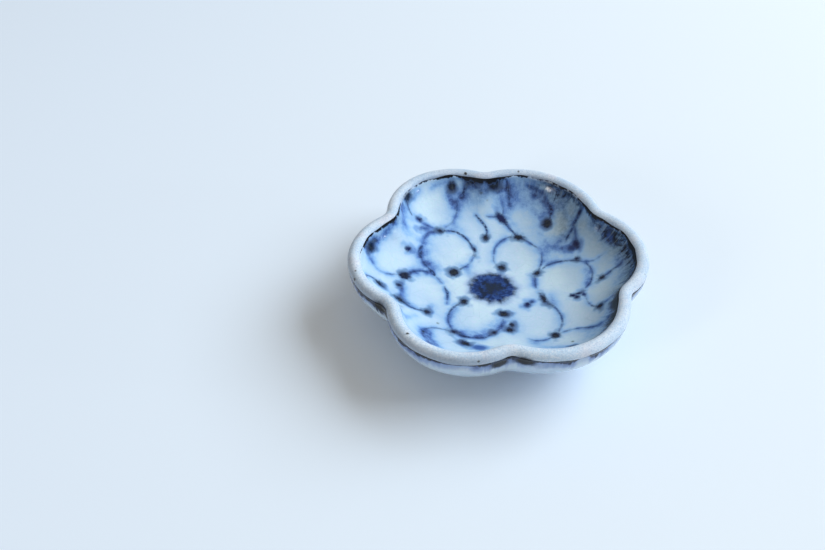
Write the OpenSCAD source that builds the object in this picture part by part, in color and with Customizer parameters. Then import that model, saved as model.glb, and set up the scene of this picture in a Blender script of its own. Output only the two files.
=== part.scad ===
// Soy sauce dish: a small hand-pressed stoneware dish with a six-lobed wall,
// a rounded bare lip, a luted foot ring and poured glaze coats.
// Millimetres, +Z up. The origin is on the table, under the middle of the foot,
// and the middle of one lobe points along +X.

/* [Rim outline] */
// Width over the lip, across the two lobes that lie on the X axis
dish_w = 90; // [82:1:110]
// Number of lobes pressed into the wall
lobe_count = 6; // [5:1:8]
// Radius of an even lobe's arc, on the outside of the lip
lobe_r = 23.7; // [21:0.1:27]
// Radius of the rounding in the notch between two lobes, outside
notch_r = 5.4; // [4:0.2:9]
// Most that a hand-pressed lobe is wider or tighter than an even one
lobe_r_stray = 2; // [0:0.1:2.5]
// Most that a hand-pressed lobe reaches past the even outline, or falls short of it
reach_stray = 0.9; // [0:0.1:1.5]
// Most that a hand-pressed lobe is turned away from its even place, in degrees
turn_stray = 3.2; // [0:0.1:4]

/* [Wall and floor] */
// Height of the lip's crest above the table
dish_h = 23; // [20:0.5:30]
// Thickness of the clay floor
floor_t = 4.2; // [3:0.1:6]
// Thickness of the lip
lip_t = 4; // [3:0.1:5]
// Height of the rounding over the lip
lip_round_h = 1.8; // [1:0.1:2.5]
// How far the lip stands proud of the wall below it
lip_bead = 0.5; // [0.2:0.1:1]
// Height over which the lip's bead runs back into the wall
lip_bead_h = 1.6; // [1:0.1:3]

/* [Foot] */
// Outer diameter of the foot ring at the table
foot_w = 44; // [36:0.5:54]
// Width of the clay ring
foot_ring_w = 3.6; // [2.5:0.1:5]
// Height of the foot ring, from the table to the seat under the floor
foot_h = 4.2; // [3:0.1:7]
// Bevel on both edges of the foot's land
foot_bevel = 0.7; // [0.3:0.1:1]
// Radius of the smoothed clay where the ring is luted to the seat
foot_fillet = 1; // [0.4:0.1:1.4]
// Width of the flat seat that stays bare outside the luted clay
seat_margin = 0.8; // [0.4:0.1:2]

/* [Glaze] */
// Thickness of the poured glaze
glaze_t = 0.35; // [0.2:0.05:0.6]
// Thickness that it thins to at its edge under the lip
glaze_edge_t = 0.12; // [0.08:0.02:0.2]
// Gap between the glaze inside the foot and the ring around it
well_glaze_gap = 0.3; // [0.1:0.1:1]

/* [Hidden] */

// Steps of a lobe's arc and of a notch's arc
lobe_steps = 10;
notch_steps = 4;
// Steps of the wall's profile, inside, over the lip and outside
inner_steps = 11;
lip_steps = 6;
outer_steps = 9;
// Steps of the profile over which the glaze comes to its full thickness
coat_steps = 3;
// Overrun of a cutter past the face that it cuts
overrun = 0.1;
$fn = 96;

// How each hand-pressed lobe strays, as shares of the three strays above
radius_shares = [-0.25, 0.95, -0.8, -0.1, -0.75, 1];
reach_shares = [0, -0.5, 1, 0, 0.9, 0.4];
turn_shares = [-0.1, 0.35, -1, 0.2, 0.1, 0.45];

// Fullness of the inner and outer profile, along the floor and up the wall
inner_floor_power = 2.6;
inner_wall_power = 1.7;
outer_floor_power = 2.6;
outer_wall_power = 1.85;
// Where the lobes have run out on the way to the middle, as a share of the inner reach
inner_fade_share = 0.4;
// How much of the lobes is left at the seat of the foot
seat_petal_share = 0.12;

rim_reach = dish_w / 2;
inner_reach = rim_reach - lip_t;
wall_reach = rim_reach - lip_bead;
seat_z = foot_h;
floor_z = seat_z + floor_t;
lip_z = dish_h - lip_round_h;
wall_z = lip_z - lip_bead_h;
inner_depth = lip_z - floor_z;
seat_r = foot_w / 2 + foot_fillet + seat_margin;
// Depth at which the outer profile would close, if it ran on to the middle
seat_share = pow(seat_r / wall_reach, outer_floor_power);
outer_depth = (wall_z - seat_z) / pow(1 - seat_share, 1 / outer_wall_power);
// Angle along the outer profile at which it meets the seat
seat_angle = asin(sqrt(seat_share));

// Rim outline
function polar(r, a) = r * [cos(a), sin(a)];
function angle_of(v) = atan2(v.y, v.x);
function signed_turn(a) = a - 360 * round(a / 360);
function share(table, k) = table[(k + lobe_count) % lobe_count % len(table)];
function lobe_angle(k) = k * 360 / lobe_count + turn_stray * share(turn_shares, k);
function lobe_radius(k) = lobe_r + lobe_r_stray * share(radius_shares, k);
function lobe_reach(k) = rim_reach + reach_stray * share(reach_shares, k);
function lobe_centre(k) = polar(lobe_reach(k) - lobe_radius(k), lobe_angle(k));

// Centre of the circle that touches lobe k and the next lobe from outside
function notch_centre(k) =
    let (a = lobe_centre(k), b = lobe_centre(k + 1))
    let (apart = norm(b - a), ahead = (b - a) / apart)
    let (from_a = lobe_radius(k) + notch_r, from_b = lobe_radius(k + 1) + notch_r)
    let (along = (apart * apart + from_a * from_a - from_b * from_b) / (2 * apart))
    a + along * ahead + sqrt(from_a * from_a - along * along) * [ahead.y, -ahead.x];

// Each entry is a point of the outline and the direction straight out of it there
function lobe_arc(k) =
    let (c = lobe_centre(k))
    let (first = lobe_angle(k) + signed_turn(angle_of(notch_centre(k - 1) - c) - lobe_angle(k)))
    let (last = lobe_angle(k) + signed_turn(angle_of(notch_centre(k) - c) - lobe_angle(k)))
    [for (i = [0:lobe_steps - 1])
        let (out = polar(1, first + (last - first) * i / lobe_steps))
        [c + lobe_radius(k) * out, out]];
function notch_arc(k) =
    let (c = notch_centre(k), first = angle_of(lobe_centre(k) - c))
    let (sweep = signed_turn(angle_of(lobe_centre(k + 1) - c) - first))
    [for (i = [0:notch_steps - 1])
        let (back = polar(1, first + sweep * i / notch_steps))
        [c + notch_r * back, -back]];
rim = [for (k = [0:lobe_count - 1]) each concat(lobe_arc(k), notch_arc(k))];
around = len(rim);

// A station of the profile is [reach, inset, petal, z]: how far the lobe tips reach, how far
// the outline is moved in from the outside of the lip, its share of lobes, and its height
function ring(s) =
    [for (p = rim)
        let (lobed = (p[0] - s[1] * p[1]) * s[0] / (rim_reach - s[1]))
        let (plain = s[0] * p[0] / norm(p[0]))
        concat(s[2] * lobed + (1 - s[2]) * plain, [s[3]])];
function smooth(x) = let (t = min(max(x, 0), 1)) t * t * (3 - 2 * t);

// Inner profile, from a = 0 in the middle of the floor to a = 90 under the lip.
// coat is the thickness laid on it, square to the clay
function inner_station(a, coat) =
    let (reach = inner_reach * pow(sin(a), 2 / inner_floor_power))
    let (fall = inner_depth * pow(cos(a), 2 / inner_wall_power))
    let (along = pow(reach / inner_reach, inner_floor_power - 1) * inner_floor_power / inner_reach)
    let (up = pow(fall / inner_depth, inner_wall_power - 1) * inner_wall_power / inner_depth)
    let (inward = [-along, up] / norm([along, up]))
    let (petal = smooth((reach / inner_reach - inner_fade_share) / (1 - inner_fade_share)))
    [reach + coat * inward.x, lip_t, petal, lip_z - fall + coat * inward.y];

// Outer profile, from a = 90 under the lip's bead to the seat of the foot
function outer_station(a, coat) =
    let (reach = wall_reach * pow(sin(a), 2 / outer_floor_power))
    let (fall = outer_depth * pow(cos(a), 2 / outer_wall_power))
    let (along = pow(reach / wall_reach, outer_floor_power - 1) * outer_floor_power / wall_reach)
    let (down = pow(fall / outer_depth, outer_wall_power - 1) * outer_wall_power / outer_depth)
    let (outward = [along, -down] / norm([along, down]))
    let (rise = smooth((reach - seat_r) / (wall_reach - seat_r)))
    let (petal = seat_petal_share + (1 - seat_petal_share) * rise)
    [reach + coat * outward.x, 0, petal, wall_z - fall + coat * outward.y];

function inner_angle(i) = 90 * i / inner_steps;
function outer_angle(i) = 90 + (seat_angle - 90) * i / outer_steps;
// The glaze thins towards its edge under the lip; from_edge counts the steps from that edge
function coat_at(from_edge) = glaze_edge_t + (glaze_t - glaze_edge_t) * smooth(from_edge / coat_steps);

inner_clay = [for (i = [1:inner_steps]) inner_station(inner_angle(i), 0)];
inner_face = [for (i = [1:inner_steps]) inner_station(inner_angle(i), coat_at(inner_steps - i))];
lip = [for (i = [1:lip_steps])
    let (a = 180 * i / lip_steps, inset = lip_t * (1 + cos(a)) / 2)
    [rim_reach - inset, inset, 1, lip_z + lip_round_h * sin(a)]];
outer_clay = [for (i = [0:outer_steps]) outer_station(outer_angle(i), 0)];
outer_face = [for (i = [0:outer_steps]) outer_station(outer_angle(i), coat_at(i))];

// Triangles between ring i and ring j, always split along the same diagonal, so that two
// solids that share rings share their faces as well. facing_in turns the faces over, for
// rings that are listed from the middle of an upper surface outwards
function band(i, j, facing_in) =
    [for (n = [0:around - 1])
        let (a = i * around + n, b = i * around + (n + 1) % around)
        let (c = j * around + (n + 1) % around, d = j * around + n)
        each (facing_in ? [[a, b, c], [a, c, d]] : [[a, c, b], [a, d, c]])];
function fan(i, tip, facing_in) =
    [for (n = [0:around - 1])
        let (a = i * around + n, b = i * around + (n + 1) % around)
        facing_in ? [tip, b, a] : [tip, a, b]];
function turned(list) = [for (i = [len(list) - 1:-1:0]) list[i]];

// A solid through rings of stations, closed on the axis at a first and a last tip
module lofted_cup(stations, first_z, last_z, facing_in) {
    rings = len(stations);
    points = concat([for (s = stations) each ring(s)], [[0, 0, first_z], [0, 0, last_z]]);
    bands = [for (i = [0:rings - 2]) each band(i, i + 1, facing_in)];
    first_fan = fan(0, rings * around, facing_in);
    last_fan = fan(rings - 1, rings * around + 1, !facing_in);
    polyhedron(points, concat(bands, first_fan, last_fan));
}

// A solid through rings of stations that closes on its own first ring, like a hoop
module lofted_hoop(stations, facing_in) {
    rings = len(stations);
    points = [for (s = stations) each ring(s)];
    bands = [for (i = [0:rings - 1]) each band(i, (i + 1) % rings, facing_in)];
    polyhedron(points, bands);
}

// Pressed clay: floor, six-lobed wall and rounded lip in one piece
module dish_body() {
    color([0.86, 0.87, 0.88])
        lofted_cup(concat(inner_clay, lip, outer_clay), floor_z, seat_z, true);
}

// Clay ring luted under the floor, with a bevelled land and a smoothed joint outside
module foot_ring() {
    outer_r = foot_w / 2;
    inner_r = outer_r - foot_ring_w;
    color([0.78, 0.71, 0.62])
        rotate_extrude() {
            polygon([
                [inner_r, seat_z],
                [inner_r, foot_bevel],
                [inner_r + foot_bevel, 0],
                [outer_r - foot_bevel, 0],
                [outer_r, foot_bevel],
                [outer_r, seat_z]
            ]);
            difference() {
                translate([outer_r - overrun, seat_z - foot_fillet])
                    square([foot_fillet + overrun, foot_fillet]);
                translate([outer_r + foot_fillet, seat_z - foot_fillet])
                    circle(r = foot_fillet);
            }
        }
}

// Poured glaze over the painted inside, up to the line under the lip
module inner_glaze() {
    color([0.74, 0.84, 0.9])
        lofted_cup(concat(inner_clay, turned(inner_face)), floor_z, floor_z + glaze_t, false);
}

// Poured glaze on the outside, from the line under the lip to the seat of the foot
module outer_glaze() {
    color([0.62, 0.73, 0.84])
        lofted_hoop(concat(outer_clay, turned(outer_face)), false);
}

// Round patch of glaze under the floor, inside the foot ring
module foot_well_glaze() {
    color([0.72, 0.8, 0.86])
        translate([0, 0, seat_z - glaze_t])
            cylinder(r = foot_w / 2 - foot_ring_w - well_glaze_gap, h = glaze_t);
}

dish_body();
foot_ring();
inner_glaze();
outer_glaze();
foot_well_glaze();
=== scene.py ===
import math

import bpy
import numpy as np
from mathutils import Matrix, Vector
from mathutils.bvhtree import BVHTree


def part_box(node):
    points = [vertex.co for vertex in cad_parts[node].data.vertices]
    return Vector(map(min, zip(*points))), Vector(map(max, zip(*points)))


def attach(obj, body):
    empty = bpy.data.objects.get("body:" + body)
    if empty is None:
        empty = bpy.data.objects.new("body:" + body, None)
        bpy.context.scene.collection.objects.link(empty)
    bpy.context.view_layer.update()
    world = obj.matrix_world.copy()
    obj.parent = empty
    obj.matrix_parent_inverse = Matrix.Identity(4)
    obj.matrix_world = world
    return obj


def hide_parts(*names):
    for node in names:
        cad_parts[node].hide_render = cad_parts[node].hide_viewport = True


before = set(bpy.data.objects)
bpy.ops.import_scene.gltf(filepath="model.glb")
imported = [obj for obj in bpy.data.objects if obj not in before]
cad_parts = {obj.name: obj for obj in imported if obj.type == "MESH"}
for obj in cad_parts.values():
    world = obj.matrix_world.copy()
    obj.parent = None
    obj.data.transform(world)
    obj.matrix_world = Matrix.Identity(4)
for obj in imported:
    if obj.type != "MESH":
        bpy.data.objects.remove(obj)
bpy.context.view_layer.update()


# Table, light and camera
# The dish stands on a plain matt table top. A wide window is high on its right, a little behind,
# the room fills in from all sides, and two small panes stand low on the left and the right.
MM = 0.001


def srgb(red, green, blue):
    """A colour named by its 0 to 255 screen values, as the shader's linear values."""
    shares = [v / 255 for v in (red, green, blue)]
    linear = [v / 12.92 if v <= 0.04045 else ((v + 0.055) / 1.055) ** 2.4 for v in shares]
    return (*linear, 1.0)


def add_node(tree, kind, sockets=None, **settings):
    """Adds a node, sets its properties, and sets or links its sockets by name or number."""
    made = tree.nodes.new(kind)
    for name, value in settings.items():
        setattr(made, name, value)
    for key, value in (sockets or {}).items():
        if isinstance(value, bpy.types.NodeSocket):
            tree.links.new(value, made.inputs[key])
        else:
            made.inputs[key].default_value = value
    return made


def bare_material(name):
    """A new material with an empty node tree."""
    material = bpy.data.materials.new(name)
    material.use_nodes = True
    material.node_tree.nodes.clear()
    return material, material.node_tree


table_half = 1.6
# The table top's colour shifts from its left to its right: painted light, standing in for the
# window's light falling off towards the left.
table_left_light_tint, table_right_light_tint = srgb(226, 239, 255), srgb(229, 239, 249)
tint_left_end, tint_right_end = -0.16, 0.12
table_mesh = bpy.data.meshes.new("table_top")
corners = [(-table_half, -table_half, 0), (table_half, -table_half, 0)]
corners += [(table_half, table_half, 0), (-table_half, table_half, 0)]
table_mesh.from_pydata(corners, [], [(0, 1, 2, 3)])
table = bpy.data.objects.new("table_top", table_mesh)
bpy.context.scene.collection.objects.link(table)
table_material, tree = bare_material("matt_table")
place = add_node(tree, "ShaderNodeTexCoord").outputs["Object"]
across = add_node(tree, "ShaderNodeSeparateXYZ", {0: place}).outputs["X"]
share = add_node(tree, "ShaderNodeMapRange", {
    0: across, 1: tint_left_end, 2: tint_right_end}).outputs[0]
tint = add_node(tree, "ShaderNodeMix", {0: share, 6: table_left_light_tint, 7: table_right_light_tint},
                data_type="RGBA")
top = add_node(tree, "ShaderNodeBsdfPrincipled", {"Base Color": tint.outputs[2],
                                                  "Roughness": 0.75})
top.inputs["Specular IOR Level"].default_value = 0.2
add_node(tree, "ShaderNodeOutputMaterial", {"Surface": top.outputs[0]})
table_mesh.materials.append(table_material)

room_tint = (1.0, 0.90, 0.765, 1)
room_low, room_high = 0.14, 0.49
world = bpy.data.worlds.new("daylit_room")
world.use_nodes = True
tree = world.node_tree
tree.nodes.clear()
towards = add_node(tree, "ShaderNodeTexCoord").outputs["Generated"]
upward = add_node(tree, "ShaderNodeSeparateXYZ", {0: towards}).outputs["Z"]
overhead = add_node(tree, "ShaderNodeMapRange", {
    0: upward, 1: 0.0, 2: 1.0, 3: room_low, 4: room_high})
room = add_node(tree, "ShaderNodeBackground", {"Color": room_tint,
                                               "Strength": overhead.outputs[0]})
seen = add_node(tree, "ShaderNodeBackground", {"Color": srgb(226, 239, 253), "Strength": 1.0})
ray = add_node(tree, "ShaderNodeLightPath")
either = add_node(tree, "ShaderNodeMixShader", {
    0: ray.outputs["Is Camera Ray"], 1: room.outputs[0], 2: seen.outputs[0]})
add_node(tree, "ShaderNodeOutputWorld", {"Surface": either.outputs[0]})
bpy.context.scene.world = world


def hang_window(name, place, aim, width, height, watts, tint):
    """A soft rectangular lamp at place, turned to face aim."""
    lamp = bpy.data.lights.new(name, "AREA")
    lamp.shape = "RECTANGLE"
    lamp.size = width
    lamp.size_y = height
    lamp.energy = watts
    lamp.color = tint
    hung = bpy.data.objects.new(name, lamp)
    hung.location = place
    hung.rotation_euler = (Vector(aim) - Vector(place)).to_track_quat("-Z", "Y").to_euler()
    bpy.context.scene.collection.objects.link(hung)
    return hung


window = hang_window("wide_window", place=(1.235, 0.29, 1.1), aim=(0, 0, 0), width=1.5,
                     height=1.15, watts=34.2, tint=(0.835, 0.925, 1.0))
window.visible_glossy = False
hang_window("left_pane", place=(-0.75, -0.57, 0.385), aim=(0, 0, 0.02), width=0.11, height=0.26,
            watts=1.4, tint=(1.0, 0.95, 0.88))
hang_window("right_pane", place=(0.94, -0.2, 0.2), aim=(0, 0, 0.02), width=0.08, height=0.08,
            watts=0.36, tint=(1.0, 1.0, 1.0))

view_place = (-0.03411, -0.19911, 0.19964)
view_rise, view_turn = 47.08, -2.46
camera = bpy.data.cameras.new("camera")
camera.sensor_width = 36
camera.lens = 39.27
viewer = bpy.data.objects.new("camera", camera)
viewer.location = view_place
viewer.rotation_euler = (math.radians(view_rise), 0, math.radians(view_turn))
bpy.context.scene.collection.objects.link(viewer)
bpy.context.scene.camera = viewer
bpy.context.scene.view_settings.view_transform = "Standard"


# Pressed dish body
# One slab of fine stoneware pressed over a mould: a round floor that opens into six lobes.
# Its lip is rounded by hand and wiped clean, so the satin clay shows there between the glazes.
lobe_count = 6
rim_reach = 45.0
lip_width = 4.0
lip_round = 1.8
bead_proud = 0.5
bead_drop = 1.6
clay_floor = 8.4
wall_curl, well_curl, belly_curl = 2.6, 1.7, 1.85
lobing_start, seat_lobing = 0.4, 0.12
inner_steps, lip_steps, bead_steps, wall_steps = 400, 120, 20, 200
foot_box_low, foot_box_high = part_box("foot_ring")
dish_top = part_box("dish_body")[1].z / MM
seat_height = foot_box_high.z / MM
lip_height = dish_top - lip_round
inner_reach = rim_reach - lip_width
wall_reach = rim_reach - bead_proud
wall_top = lip_height - bead_drop
foot_reach = (foot_box_high.x - foot_box_low.x) / MM / 2
seat_reach = foot_reach + 0.8
lobe_radii = (23.2, 25.6, 22.1, 23.5, 22.2, 25.7)
lobe_strays = (0, -0.45, 0.9, 0, 0.81, 0.36)
lobe_turns = (-0.32, 1.12, -3.2, 0.64, 0.32, 1.44)
notch_radius = 5.4


def heading(angle):
    """The unit vector at an angle in radians."""
    return np.array([math.cos(angle), math.sin(angle)])


def bearing(vector):
    """The angle of a vector in radians."""
    return math.atan2(vector[1], vector[0])


def short_turn(angle):
    """The same turn, brought within half a turn of nothing."""
    return angle - math.tau * round(angle / math.tau)


def lobe(k):
    """The centre, radius and middle direction of one lobe's arc."""
    k = k % lobe_count
    angle = math.radians(k * 360 / lobe_count + lobe_turns[k])
    radius = lobe_radii[k]
    return (rim_reach + lobe_strays[k] - radius) * heading(angle), radius, angle


def notch(k):
    """The centre of the small circle that joins lobe k to the next one."""
    a, radius_a, _ = lobe(k)
    b, radius_b, _ = lobe(k + 1)
    apart = np.linalg.norm(b - a)
    ahead = (b - a) / apart
    from_a = radius_a + notch_radius
    from_b = radius_b + notch_radius
    along = (apart ** 2 + from_a ** 2 - from_b ** 2) / (2 * apart)
    return a + along * ahead + math.sqrt(from_a ** 2 - along ** 2) * np.array([ahead[1], -ahead[0]])


def lip_outline(lobe_steps, notch_steps):
    """Points of the lip's outline, the way out of it there, and the length to the nearest notch."""
    points, ways, middles = [], [], []
    for k in range(lobe_count):
        centre, radius, angle = lobe(k)
        first = angle + short_turn(bearing(notch(k - 1) - centre) - angle)
        last = angle + short_turn(bearing(notch(k) - centre) - angle)
        for i in range(lobe_steps):
            way = heading(first + (last - first) * i / lobe_steps)
            points.append(centre + radius * way)
            ways.append(way)
        hollow = notch(k)
        first = bearing(centre - hollow)
        sweep = short_turn(bearing(lobe(k + 1)[0] - hollow) - first)
        middles.append(len(points) + notch_steps // 2)
        for i in range(notch_steps):
            way = heading(first + sweep * i / notch_steps)
            points.append(hollow + notch_radius * way)
            ways.append(-way)
    points, ways = np.array(points), np.array(ways)
    steps = np.linalg.norm(np.roll(points, -1, axis=0) - points, axis=1)
    travelled = np.concatenate([[0], np.cumsum(steps)])
    girth = travelled[-1]
    gaps = np.abs(travelled[:-1, None] - travelled[middles][None, :])
    return points, ways, np.minimum(gaps, girth - gaps).min(axis=1)


def ease(x):
    """A smooth rise from 0 to 1."""
    t = np.clip(x, 0, 1)
    return t * t * (3 - 2 * t)


def section():
    """The dish's whole section as rows of reach, inset, share of lobes and height, with its length.

    It runs from the middle of the floor up the wall, over the lip and down to the seat."""
    rows = []
    inner_depth = lip_height - clay_floor
    for a in np.linspace(0, math.pi / 2, inner_steps):
        reach = inner_reach * math.sin(a) ** (2 / wall_curl)
        fall = inner_depth * max(math.cos(a), 0) ** (2 / well_curl)
        lobing = ease((reach / inner_reach - lobing_start) / (1 - lobing_start))
        rows.append((reach, lip_width, lobing, lip_height - fall))
    for a in np.linspace(0, math.pi, lip_steps)[1:]:
        inset = lip_width * (1 + math.cos(a)) / 2
        rows.append((rim_reach - inset, inset, 1, lip_height + lip_round * math.sin(a)))
    lip_end = len(rows) - 1
    for t in np.linspace(0, 1, bead_steps)[1:]:
        rows.append((rim_reach - bead_proud * ease(t), 0, 1, lip_height - bead_drop * t))
    closing = (seat_reach / wall_reach) ** wall_curl
    outer_depth = (wall_top - seat_height) / (1 - closing) ** (1 / belly_curl)
    low = math.asin(math.sqrt(closing))
    for a in np.linspace(math.pi / 2, low, wall_steps)[1:]:
        reach = wall_reach * math.sin(a) ** (2 / wall_curl)
        fall = outer_depth * max(math.cos(a), 0) ** (2 / belly_curl)
        rise = ease((reach - seat_reach) / (wall_reach - seat_reach))
        rows.append((reach, 0, seat_lobing + (1 - seat_lobing) * rise, wall_top - fall))
    rows = np.array(rows)
    steps = np.hypot(np.diff(rows[:, 0]), np.diff(rows[:, 3]))
    lengths = np.concatenate([[0], np.cumsum(steps)])
    return rows, lengths, lengths[inner_steps - 1], lengths[lip_end]


section_rows, section_lengths, lip_start_length, lip_end_length = section()
section_end_length = section_lengths[-1]


def outward(rows):
    """The direction square to a section, away from the clay, as reach and height."""
    tangent = np.gradient(rows[:, [0, 3]], axis=0)
    tangent /= np.linalg.norm(tangent, axis=1)[:, None]
    return np.stack([-tangent[:, 1], tangent[:, 0]], axis=1)


section_outward = outward(section_rows)


def hand_press(points):
    """Moves points the way the potter's hand left the wall: the lip dips and draws in a little."""
    angle = np.arctan2(points[:, 1], points[:, 0])
    lift = np.clip((points[:, 2] - seat_height) / (lip_height - seat_height), 0, 1.2)
    dip = 0.16 + 0.07 * np.cos(angle - 0.6) + 0.05 * np.cos(3 * angle + 1.1)
    dip += 0.04 * np.cos(7 * angle + 0.4)
    draw = 0.0012 * (1 + np.cos(2 * angle + 0.8)) + 0.0006 * (1 + np.cos(5 * angle + 2.0))
    pressed = points.copy()
    pressed[:, :2] *= (1 - draw * lift)[:, None]
    pressed[:, 2] -= dip * lift
    return pressed


def ring_at(outline, ways, length, coat):
    """A ring of points on the dish at one length along its section, under a coat of glaze.

    Both the length and the coat may be one number or one for each point."""
    reach, inset, petal, height = [np.interp(length, section_lengths, section_rows[:, i])
                                   for i in range(4)]
    out_reach = np.interp(length, section_lengths, section_outward[:, 0])
    out_height = np.interp(length, section_lengths, section_outward[:, 1])
    column = [np.broadcast_to(v, len(outline))[:, None] for v in (reach, inset, petal)]
    grown = column[0] + np.broadcast_to(coat * out_reach, len(outline))[:, None]
    lobed = (outline - column[1] * ways) * grown / (rim_reach - column[1])
    plain = grown * outline / np.linalg.norm(outline, axis=1)[:, None]
    flat = column[2] * lobed + (1 - column[2]) * plain
    level = np.broadcast_to(height + coat * out_height, len(outline))
    return np.column_stack([flat, level])


def band(first, count, second, other):
    """Faces between two rings that start at these vertices; one may have half as many points."""
    if count == other:
        n = np.arange(count)
        after = (n + 1) % count
        return np.stack([first + n, second + n, second + after, first + after], 1).tolist()
    n = np.arange(min(count, other))
    after = (n + 1) % len(n)
    if count < other:
        p, q, a, b = first + n, first + after, second + 2 * n, second + 2 * n + 1
        c = second + 2 * after
        return np.concatenate([np.stack(f, 1) for f in ((p, a, b), (p, b, q), (q, b, c))]).tolist()
    p, q, a, b = second + n, second + after, first + 2 * n, first + 2 * n + 1
    c = first + 2 * after
    return np.concatenate([np.stack(f, 1) for f in ((a, p, b), (b, p, q), (b, q, c))]).tolist()


def lofted_piece(name, rings, first_tip=None, last_tip=None):
    """A smooth closed mesh through rings of points in millimetres.

    It closes on a tip at each end, or on its own first ring where it has no tips. The points
    come back too, in millimetres."""
    starts, counts, total = [], [len(r) for r in rings], 0
    for n in counts:
        starts.append(total)
        total += n
    faces = []
    for i in range(len(rings) - 1):
        faces += band(starts[i], counts[i], starts[i + 1], counts[i + 1])
    points = [np.asarray(r) for r in rings]
    if first_tip is None:
        faces += band(starts[-1], counts[-1], starts[0], counts[0])
    else:
        points += [np.array([first_tip]), np.array([last_tip])]
        faces += [(total, n, (n + 1) % counts[0]) for n in range(counts[0])]
        low = starts[-1]
        faces += [(total + 1, low + (n + 1) % counts[-1], low + n) for n in range(counts[-1])]
    points = np.concatenate(points)
    mesh = bpy.data.meshes.new(name)
    mesh.from_pydata((points * MM).tolist(), [], faces)
    mesh.polygons.foreach_set("use_smooth", [True] * len(mesh.polygons))
    mesh.update()
    piece = bpy.data.objects.new(name, mesh)
    bpy.context.scene.collection.objects.link(piece)
    return piece, points


def paint_field(piece, name, values):
    """Stores one number or one vector for each point of a piece, for its material to read."""
    values = np.asarray(values, np.float32)
    kind = "FLOAT" if values.ndim == 1 else "FLOAT_VECTOR"
    field = piece.data.attributes.new(name, kind, "POINT")
    field.data.foreach_set("value" if values.ndim == 1 else "vector", values.ravel())


outline, ways, notch_away = lip_outline(lobe_steps=94, notch_steps=12)
around = len(outline)
# The body's rings lie close together over the lip and further apart on the walls.
body_lengths = list(np.linspace(2, lip_start_length - 1.2, 30))
body_lengths += list(np.linspace(lip_start_length - 0.8, lip_end_length + 2.6, 46))
body_lengths += list(np.linspace(lip_end_length + 3.4, section_end_length, 24))
body_rings = [hand_press(ring_at(outline, ways, length, 0)) for length in body_lengths]
under_reaches = (18, 12, 6)
for reach in under_reaches:
    flat = outline / np.linalg.norm(outline, axis=1)[:, None] * reach
    body_rings.append(np.column_stack([flat, np.full(around, seat_height)]))
body, body_points = lofted_piece("dish_body_clay", body_rings, (0, 0, clay_floor),
                                 (0, 0, seat_height))
# How far each point is over the lip, from 0 inside to 1 outside, and at each bearing in degrees
# from +X how much painted shade its outer face takes, darker on the side turned from the window,
# and how much of the seam it dragged inwards, with painted shade over its inner half at the back.
lip_shares = (np.array(body_lengths) - lip_start_length) / (lip_end_length - lip_start_length)
far_in, far_out = -9.0, 9.0
lip_shares = np.concatenate([lip_shares, [far_out] * len(under_reaches)])
paint_field(body, "over_lip", np.concatenate([np.repeat(lip_shares, around), [far_in, far_out]]))
lip_painted_shades_at = [
    (-180, 0.75), (-125, 0.85), (-112, 0.8), (-100, 0.6), (-85, 0.3), (-70, 0.2), (-20, 0.3),
    (20, 0.2), (60, 0.05), (90, 0.1), (130, 0.15), (155, 0.4), (180, 0.75),
]
lip_seam_and_shades_at = [
    (-180, 0.0), (-90, 0.0), (-60, 0.1), (-30, 0.3), (0, 0.4), (20, 0.4), (45, 0.35), (70, 0.8),
    (110, 0.8), (125, 0.3), (160, 0.1), (180, 0.0),
]
lip_way = np.degrees(np.arctan2(outline[:, 1], outline[:, 0]))
for field, marks in (("lip_painted_shade", lip_painted_shades_at), ("lip_seam_and_shade", lip_seam_and_shades_at)):
    shares = np.interp(lip_way, *zip(*marks))
    paint_field(body, field, np.concatenate([np.tile(shares, len(lip_shares)), [0.0, 0.0]]))


def speck_gap(points, specks):
    """How far each point is from the nearest speck's edge, for specks of x, y, z and radius."""
    gaps = [np.linalg.norm(points - np.array(speck[:3]), axis=1) - speck[3] for speck in specks]
    return np.minimum(np.min(gaps, axis=0), 9)


# Iron specks that burned out on the lip: where each one is, and its radius.
lip_specks = [(-42.7, -9.4, 22.0, 0.4), (-28.3, -32.3, 22.9, 0.35), (-10.0, -42.3, 22.0, 0.3),
              (11.1, 39.5, 22.7, 0.3), (-6.4, 39.6, 22.4, 0.5), (41.6, -11.2, 22.4, 0.25),
              (17.0, -40.4, 22.2, 0.2), (30.4, 33.0, 22.3, 0.3)]
paint_field(body, "speck_gap", speck_gap(body_points, lip_specks))

# Where glaze pooled dark under the lip: bearing, height, half width and half height, and strength.
lip_pools = [(-95.8, 19.5, 2.4, 1.4, 1.35), (-86.6, 20.1, 2.7, 1.5, 1.35),
             (-91.0, 20.6, 1.3, 1.6, 0.3), (-158, 19.9, 3.2, 0.9, 0.8),
             (-152, 20.0, 2.6, 1.8, 1.3), (-147.5, 19.4, 1.6, 2.2, 1.2),
             (-22, 20.3, 2.6, 0.6, 0.9), (-60.5, 20.3, 2.4, 0.5, 0.7), (-72.5, 20.5, 2.0, 0.5, 0.7),
             (31, 20.4, 2.6, 0.9, 0.9), (88, 20.4, 2.8, 1.1, 1.0), (151, 20.5, 2.2, 0.9, 0.8)]


def pool_stain(points):
    """How deeply the pools under the lip stain each point."""
    stain = np.zeros(len(points))
    for direction, height, half_wide, half_tall, strength in lip_pools:
        centre = outline[np.argmin(np.abs(lip_way - direction))]
        aside = np.linalg.norm(points[:, :2] - centre, axis=1) / half_wide
        rise = (points[:, 2] - height) / half_tall
        stain = np.maximum(stain, strength * np.exp(-aside ** 2 - rise ** 2))
    return stain


paint_field(body, "pool_stain", pool_stain(body_points))


def colour_mix(tree, share, first, second):
    """One colour into another by a share."""
    made = add_node(tree, "ShaderNodeMix", {0: share, 6: first, 7: second}, data_type="RGBA")
    return made.outputs[2]


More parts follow.
